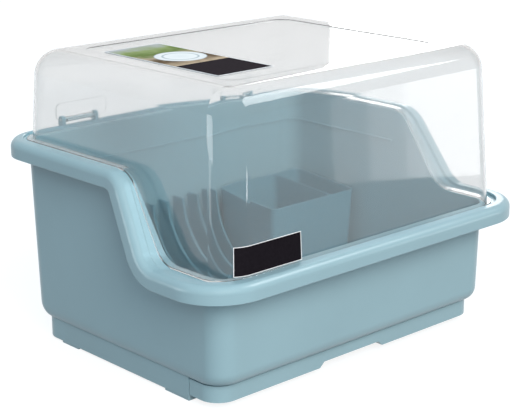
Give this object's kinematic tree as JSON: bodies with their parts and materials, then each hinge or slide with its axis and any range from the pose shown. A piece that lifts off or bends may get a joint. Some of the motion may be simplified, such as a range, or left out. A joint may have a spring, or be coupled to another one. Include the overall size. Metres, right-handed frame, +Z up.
{
  "type": "dish drainer",
  "caption": "Countertop dish drainer: deep tub with a dropped front rim, clear hinged hood, plate rack, cutlery holder and slide-out drip tray.",
  "frame": {"origin": "centre of the bounding box's bottom face, on the surface that the feet stand on", "axes": "+X to the object's right, -Y towards its low front, +Z up"},
  "size_m": [0.506, 0.398, 0.344],
  "materials": {
    "blue_plastic": "moulded grey-blue plastic with a soft gloss",
    "insert_plastic": "moulded grey-blue plastic",
    "clear_plastic": "clear moulded plastic, slightly hazy",
    "pin_plastic": "natural white plastic",
    "label_print": "printed film, dark with a pale border"
  },
  "bodies": {
    "base": {"tub": "blue_plastic", "base_frame": "blue_plastic", "hinge_pin_left": "pin_plastic", "hinge_pin_right": "pin_plastic"},
    "lid_body": {"lid": "clear_plastic", "lid_label": "label_print", "corner_label": "label_print"},
    "tray_body": {"drip_tray": "blue_plastic"},
    "rack_body": {"rack_base": "insert_plastic", "rack_rib_1": "insert_plastic", "rack_rib_2": "insert_plastic", "rack_rib_3": "insert_plastic", "rack_rib_4": "insert_plastic", "rack_rib_5": "insert_plastic", "rack_rib_6": "insert_plastic", "rack_rib_7": "insert_plastic", "rack_rib_8": "insert_plastic", "rack_rib_9": "insert_plastic", "rack_rib_10": "insert_plastic", "rack_rib_11": "insert_plastic"},
    "holder_body": {"cutlery_holder": "insert_plastic"}
  },
  "joints": [
    {"name": "lid_hinge", "type": "hinge", "parent": "base", "child": "lid_body", "pos_m": [0, 0.1935, 0.25], "axis": [-1, 0, 0], "range_deg": [0, 100]},
    {"name": "tray_slide", "type": "slide", "parent": "base", "child": "tray_body", "axis": [0, -1, 0], "range_m": [0, 0.22]},
    {"name": "rack_lift", "type": "slide", "parent": "base", "child": "rack_body", "axis": [0, 0, 1], "range_m": [0, 0.15]},
    {"name": "holder_lift", "type": "slide", "parent": "base", "child": "holder_body", "axis": [0, 0, 1], "range_m": [0, 0.15]}
  ]
}
